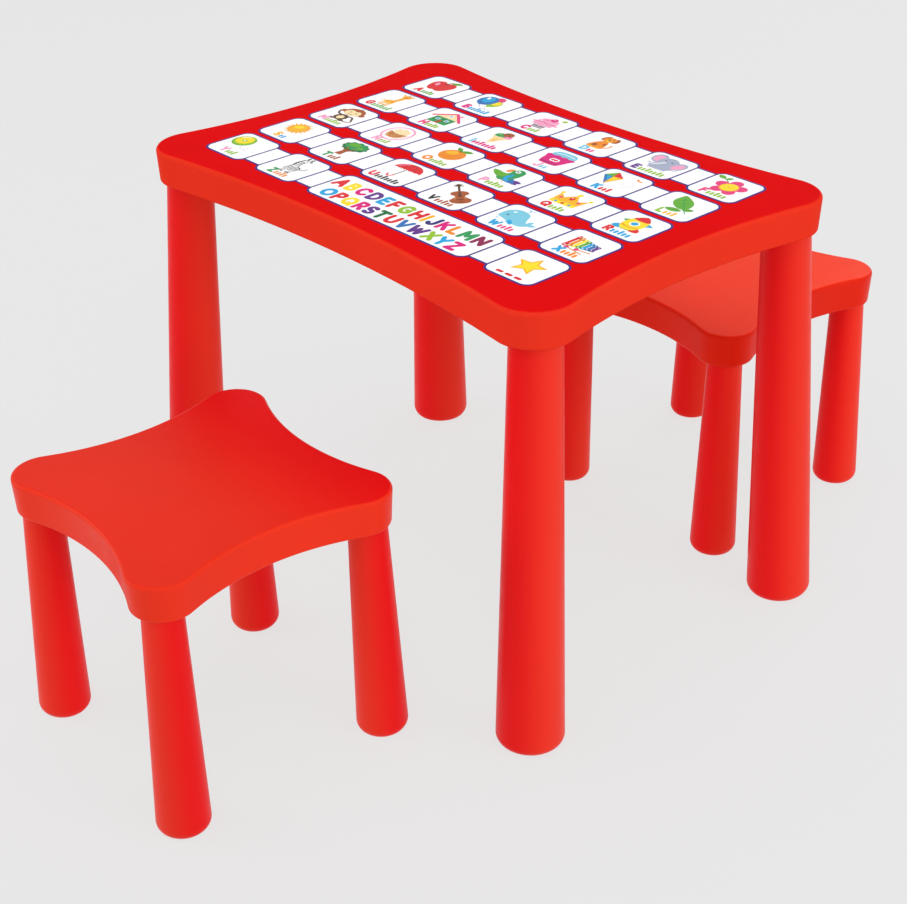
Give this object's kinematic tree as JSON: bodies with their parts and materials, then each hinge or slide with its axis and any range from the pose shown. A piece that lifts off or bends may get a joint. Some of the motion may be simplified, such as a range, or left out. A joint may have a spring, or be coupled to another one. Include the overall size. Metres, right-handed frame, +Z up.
{
  "type": "kids table and chairs",
  "caption": "Children's moulded-plastic table with tapered plug-in legs, alphabet picture stickers on its top, and matching square stools that tuck in under it.",
  "frame": {"origin": "on the floor, at the middle of the footprint of the whole set as it stands", "axes": "+Z up; X along the table's long side; -Y towards the child who reads the stickers"},
  "size_m": [0.6478, 1.027, 0.4803],
  "materials": {
    "table_plastic": "injection-moulded polypropylene, satin gloss",
    "stool_plastic": "injection-moulded polypropylene, satin gloss",
    "leg_plastic": "blow-moulded polypropylene, satin gloss",
    "sticker_film": "printed vinyl film, satin laminate"
  },
  "bodies": {
    "table": {"table_top": "table_plastic", "table_leg_front_left": "leg_plastic", "table_leg_front_right": "leg_plastic", "table_leg_back_right": "leg_plastic", "table_leg_back_left": "leg_plastic", "sticker_row_1": "sticker_film", "sticker_row_2": "sticker_film", "sticker_row_3": "sticker_film", "sticker_row_4": "sticker_film", "sticker_row_5": "sticker_film"},
    "stool_1": {"stool_1_seat": "stool_plastic", "stool_1_leg_front_left": "leg_plastic", "stool_1_leg_front_right": "leg_plastic", "stool_1_leg_back_right": "leg_plastic", "stool_1_leg_back_left": "leg_plastic"},
    "stool_2": {"stool_2_seat": "stool_plastic", "stool_2_leg_front_left": "leg_plastic", "stool_2_leg_front_right": "leg_plastic", "stool_2_leg_back_right": "leg_plastic", "stool_2_leg_back_left": "leg_plastic"}
  },
  "joints": [
    {"name": "stool_1_slide", "type": "slide", "parent": "table", "child": "stool_1", "axis": [0, 1, 0], "range_m": [-0.15, 0.25]},
    {"name": "stool_2_slide", "type": "slide", "parent": "table", "child": "stool_2", "axis": [0, -1, 0], "range_m": [-0.15, 0.165]}
  ]
}
